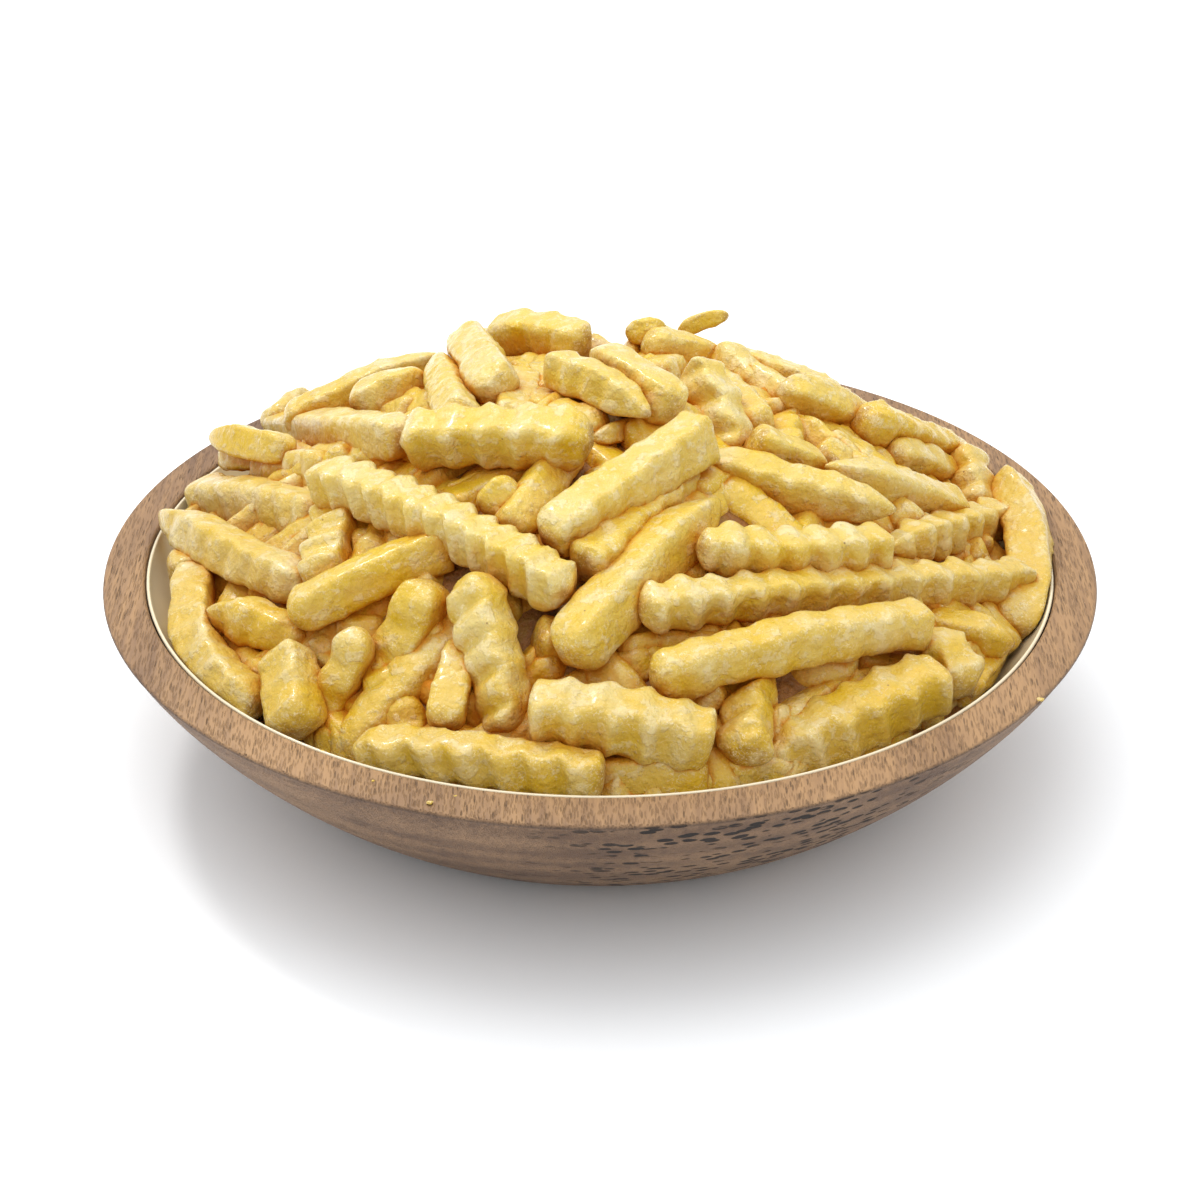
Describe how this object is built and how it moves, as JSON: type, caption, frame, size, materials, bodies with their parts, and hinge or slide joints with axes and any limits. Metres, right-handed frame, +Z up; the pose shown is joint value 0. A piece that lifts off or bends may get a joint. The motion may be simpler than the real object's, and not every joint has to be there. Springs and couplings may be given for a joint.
{
  "type": "bowl of crinkle-cut fries",
  "caption": "Heap of crinkle-cut potato fries in a shallow turned wooden bowl with a cream enamel lining, standing on its flat foot",
  "frame": {"origin": "centre of the flat underside of the bowl's foot, on the ground", "axes": "+Z up, -Y towards the viewer of the picture, +X to the viewer's right"},
  "size_m": [0.2494, 0.2494, 0.1029],
  "materials": {
    "turned_wood": "turned open-pored hardwood, oiled, satin",
    "cream_enamel": "smooth cream enamel, glossy",
    "fried_potato": null
  },
  "bodies": {
    "root": {"bowl": "turned_wood", "lining": "cream_enamel", "fries_heap": "fried_potato"}
  },
  "joints": []
}
